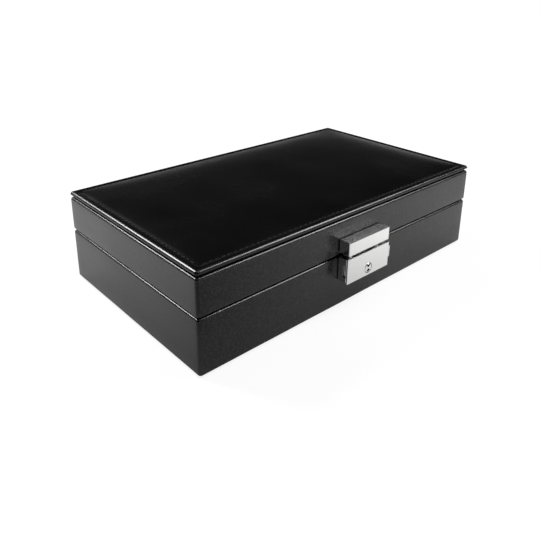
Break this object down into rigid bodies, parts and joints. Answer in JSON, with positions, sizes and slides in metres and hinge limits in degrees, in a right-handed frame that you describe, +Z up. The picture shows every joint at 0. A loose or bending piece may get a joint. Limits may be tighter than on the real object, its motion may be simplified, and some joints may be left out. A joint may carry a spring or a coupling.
{
  "type": "jewellery box",
  "caption": "Low hinged jewellery box in black leatherette with a stitched padded lid panel and a keyed front slide lock; velvet cells, ring rolls and a lid mirror inside",
  "frame": {"origin": "centre of the underside, on the felt that rests on the table", "axes": "+X to the right along the front, -Y towards the viewer who faces the lock, +Z up"},
  "size_m": [0.25, 0.158, 0.0656],
  "materials": {
    "black_leatherette": "smooth glossy grained coating",
    "fibreboard": "raw",
    "black_velvet": "short pile",
    "black_felt": "pressed felt",
    "grey_foam": "soft padding sheet",
    "mirror_glass": "silvered",
    "plated_steel": "plated",
    "satin_nickel": "satin nickel plating"
  },
  "bodies": {
    "base": {"base_leather": "black_leatherette", "base_front_board": "fibreboard", "base_back_board": "fibreboard", "base_left_board": "fibreboard", "base_right_board": "fibreboard", "base_floor_board": "fibreboard", "base_lining": "black_velvet", "left_cross_divider": "black_velvet", "left_long_divider": "black_velvet", "middle_cross_divider": "black_velvet", "middle_long_divider": "black_velvet", "right_cross_divider": "black_velvet", "ring_roll_1": "black_velvet", "ring_roll_2": "black_velvet", "ring_roll_3": "black_velvet", "ring_roll_4": "black_velvet", "ring_roll_5": "black_velvet", "ring_roll_6": "black_velvet", "base_felt": "black_felt", "hinge_left_lower_leaf": "plated_steel", "hinge_right_lower_leaf": "plated_steel", "hinge_left_lower_screw_1": "plated_steel", "hinge_left_lower_screw_2": "plated_steel", "hinge_right_lower_screw_1": "plated_steel", "hinge_right_lower_screw_2": "plated_steel", "hinge_left_pin": "plated_steel", "hinge_right_pin": "plated_steel", "lock_screw_1": "plated_steel", "lock_screw_2": "plated_steel", "lock_housing": "satin_nickel", "lock_face_plate": "satin_nickel"},
    "lid": {"lid_leather": "black_leatherette", "panel_cover": "black_leatherette", "lid_front_board": "fibreboard", "lid_back_board": "fibreboard", "lid_left_board": "fibreboard", "lid_right_board": "fibreboard", "lid_top_board": "fibreboard", "panel_board": "fibreboard", "lid_lining": "black_velvet", "mirror_frame": "black_velvet", "panel_foam": "grey_foam", "lid_mirror": "mirror_glass", "catch_staple": "plated_steel", "catch_block": "satin_nickel", "catch_screw_1": "plated_steel", "catch_screw_2": "plated_steel", "hinge_left_upper_leaf": "plated_steel", "hinge_right_upper_leaf": "plated_steel", "hinge_left_upper_screw_1": "plated_steel", "hinge_left_upper_screw_2": "plated_steel", "hinge_right_upper_screw_1": "plated_steel", "hinge_right_upper_screw_2": "plated_steel"},
    "slide": {"lock_slide": "satin_nickel"},
    "key": {"key_plug": "satin_nickel"}
  },
  "joints": [
    {"name": "lid_hinge", "type": "hinge", "parent": "base", "child": "lid", "pos_m": [0, 0.0748, 0.03625], "axis": [-1, 0, 0], "range_deg": [0, 95]},
    {"name": "key_turn", "type": "hinge", "parent": "base", "child": "key", "pos_m": [0, -0.0811, 0.0252], "axis": [0, -1, 0], "range_deg": [0, 90]},
    {"name": "lock_slide", "type": "slide", "parent": "base", "child": "slide", "axis": [-1, 0, 0], "range_m": [0, 0.0022]}
  ],
  "couplings": [
    {"joint": "key_turn", "follows": "lock_slide", "rad_per_m": 713.9}
  ]
}
